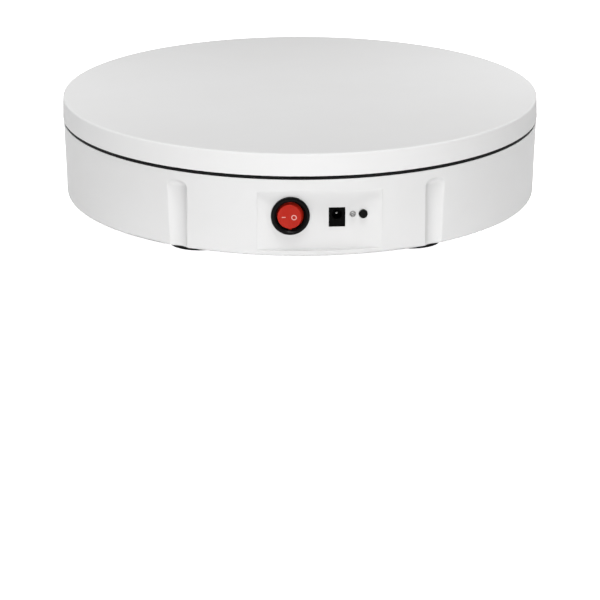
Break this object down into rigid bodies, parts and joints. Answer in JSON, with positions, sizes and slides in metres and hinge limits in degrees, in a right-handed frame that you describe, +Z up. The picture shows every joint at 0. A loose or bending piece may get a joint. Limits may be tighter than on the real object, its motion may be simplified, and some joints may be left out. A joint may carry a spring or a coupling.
{
  "type": "motorised display turntable",
  "caption": "Round white motorised display turntable: flat platter on a drafted base with rubber feet, a rocker switch, power jack, lamp and small button on the front panel.",
  "frame": {"origin": "on the surface the feet stand on, under the platter's rotation axis", "axes": "+Z up along the platter's rotation axis; the control panel faces -Y; +X is to the right for someone facing the panel"},
  "size_m": [0.3, 0.3, 0.066],
  "materials": {
    "shell_white": "satin moulded ABS",
    "platter_white": "satin moulded ABS",
    "foot_rubber": "matt moulded rubber",
    "chassis_black": "matt black moulding",
    "roller_nylon": "natural nylon",
    "gear_acetal": "natural acetal",
    "screw_steel": "zinc plated",
    "ground_steel": "ground",
    "spring_steel": "blackened spring steel",
    "bearing_steel": "polished",
    "cage_brass": "pressed brass",
    "motor_zinc": "zinc-plated drawn steel",
    "winding_copper": "enamelled copper wire",
    "switch_black": "semi-gloss",
    "rocker_red": "gloss",
    "terminal_tin": "tinned brass",
    "jack_black": "fine matt",
    "pin_nickel": "nickel plated",
    "lamp_clear": "clear diffused lens",
    "button_black": "gloss",
    "board_green": "solder resist",
    "chip_black": "moulded epoxy",
    "capacitor_sleeve": "shrink sleeve",
    "connector_white": "natural nylon",
    "lead_red": "PVC insulation",
    "lead_black": "PVC insulation",
    "lead_grey": "PVC jacket"
  },
  "bodies": {
    "base": {"base_shell": "shell_white", "board_screws": "screw_steel", "button_switch": "button_black", "button_switch_legs": "terminal_tin", "capacitors": "capacitor_sleeve", "chassis_deck": "chassis_black", "circuit_board": "board_green", "controller_chips": "chip_black", "deck_screws": "screw_steel", "indicator_lamp": "lamp_clear", "indicator_leads": "terminal_tin", "lead_connectors": "connector_white", "lower_bearing_outer_race": "bearing_steel", "motor_can": "motor_zinc", "motor_gearbox_lid": "chassis_black", "motor_lead": "lead_grey", "motor_nuts": "screw_steel", "motor_screws": "screw_steel", "motor_winding": "winding_copper", "power_jack": "jack_black", "power_jack_pin": "pin_nickel", "power_jack_tabs": "terminal_tin", "roller_axles": "ground_steel", "rubber_foot_1": "foot_rubber", "rubber_foot_2": "foot_rubber", "rubber_foot_3": "foot_rubber", "rubber_foot_4": "foot_rubber", "rubber_foot_5": "foot_rubber", "rubber_foot_6": "foot_rubber", "switch_bezel": "switch_black", "switch_lead_live": "lead_red", "switch_lead_return": "lead_black", "switch_terminals": "terminal_tin", "upper_bearing_outer_race": "bearing_steel"},
    "platter": {"platter": "platter_white", "ring_gear": "gear_acetal", "ring_gear_screws": "screw_steel", "spindle": "ground_steel", "spindle_screws": "screw_steel", "spindle_washer": "ground_steel", "spindle_clip": "spring_steel", "upper_bearing_inner_race": "bearing_steel", "lower_bearing_inner_race": "bearing_steel"},
    "pinion": {"drive_pinion": "gear_acetal", "motor_shaft": "ground_steel"},
    "upper_balls": {"upper_bearing_balls": "bearing_steel", "upper_bearing_cage": "cage_brass"},
    "lower_balls": {"lower_bearing_balls": "bearing_steel", "lower_bearing_cage": "cage_brass"},
    "rocker": {"switch_rocker": "rocker_red"},
    "button": {"direction_button": "button_black"},
    "roller_1": {"support_roller_1": "roller_nylon"},
    "roller_2": {"support_roller_2": "roller_nylon"},
    "roller_3": {"support_roller_3": "roller_nylon"},
    "roller_4": {"support_roller_4": "roller_nylon"},
    "roller_5": {"support_roller_5": "roller_nylon"},
    "roller_6": {"support_roller_6": "roller_nylon"}
  },
  "joints": [
    {"name": "platter_spin", "type": "hinge", "parent": "base", "child": "platter", "pos_m": [0, 0, 0.0555], "axis": [0, 0, 1], "continuous": true},
    {"name": "pinion_spin", "type": "hinge", "parent": "base", "child": "pinion", "pos_m": [0, 0.0495, 0.0566], "axis": [0, 0, 1], "continuous": true},
    {"name": "upper_cage_spin", "type": "hinge", "parent": "base", "child": "upper_balls", "pos_m": [0, 0, 0.0515], "axis": [0, 0, 1], "continuous": true},
    {"name": "lower_cage_spin", "type": "hinge", "parent": "base", "child": "lower_balls", "pos_m": [0, 0, 0.035], "axis": [0, 0, 1], "continuous": true},
    {"name": "rocker_tilt", "type": "hinge", "parent": "base", "child": "rocker", "pos_m": [-0.0173, -0.1426, 0.0272], "axis": [0, 0, 1], "range_deg": [0, 20]},
    {"name": "button_press", "type": "slide", "parent": "base", "child": "button", "axis": [0, 1, 0], "range_m": [0, 0.0005], "stiffness_N_per_m": 400},
    {"name": "roller_1_spin", "type": "hinge", "parent": "base", "child": "roller_1", "pos_m": [0.05321, -0.1042, 0.0518], "axis": [0.4548, -0.8906, 0], "continuous": true},
    {"name": "roller_2_spin", "type": "hinge", "parent": "base", "child": "roller_2", "pos_m": [0.11684, -0.00602, 0.0518], "axis": [0.9987, -0.0515, 0], "continuous": true},
    {"name": "roller_3_spin", "type": "hinge", "parent": "base", "child": "roller_3", "pos_m": [0.06364, 0.09818, 0.0518], "axis": [0.5439, 0.8391, 0], "continuous": true},
    {"name": "roller_4_spin", "type": "hinge", "parent": "base", "child": "roller_4", "pos_m": [-0.05321, 0.1042, 0.0518], "axis": [-0.4548, 0.8906, 0], "continuous": true},
    {"name": "roller_5_spin", "type": "hinge", "parent": "base", "child": "roller_5", "pos_m": [-0.11684, 0.00602, 0.0518], "axis": [-0.9987, 0.0515, 0], "continuous": true},
    {"name": "roller_6_spin", "type": "hinge", "parent": "base", "child": "roller_6", "pos_m": [-0.06364, -0.09818, 0.0518], "axis": [-0.5439, -0.8391, 0], "continuous": true}
  ],
  "couplings": [
    {"joint": "pinion_spin", "follows": "platter_spin", "ratio": 4.6667},
    {"joint": "upper_cage_spin", "follows": "platter_spin", "ratio": 0.38},
    {"joint": "lower_cage_spin", "follows": "platter_spin", "ratio": 0.38},
    {"joint": "roller_1_spin", "follows": "platter_spin", "ratio": -14.625},
    {"joint": "roller_2_spin", "follows": "platter_spin", "ratio": -14.625},
    {"joint": "roller_3_spin", "follows": "platter_spin", "ratio": -14.625},
    {"joint": "roller_4_spin", "follows": "platter_spin", "ratio": -14.625},
    {"joint": "roller_5_spin", "follows": "platter_spin", "ratio": -14.625},
    {"joint": "roller_6_spin", "follows": "platter_spin", "ratio": -14.625}
  ]
}
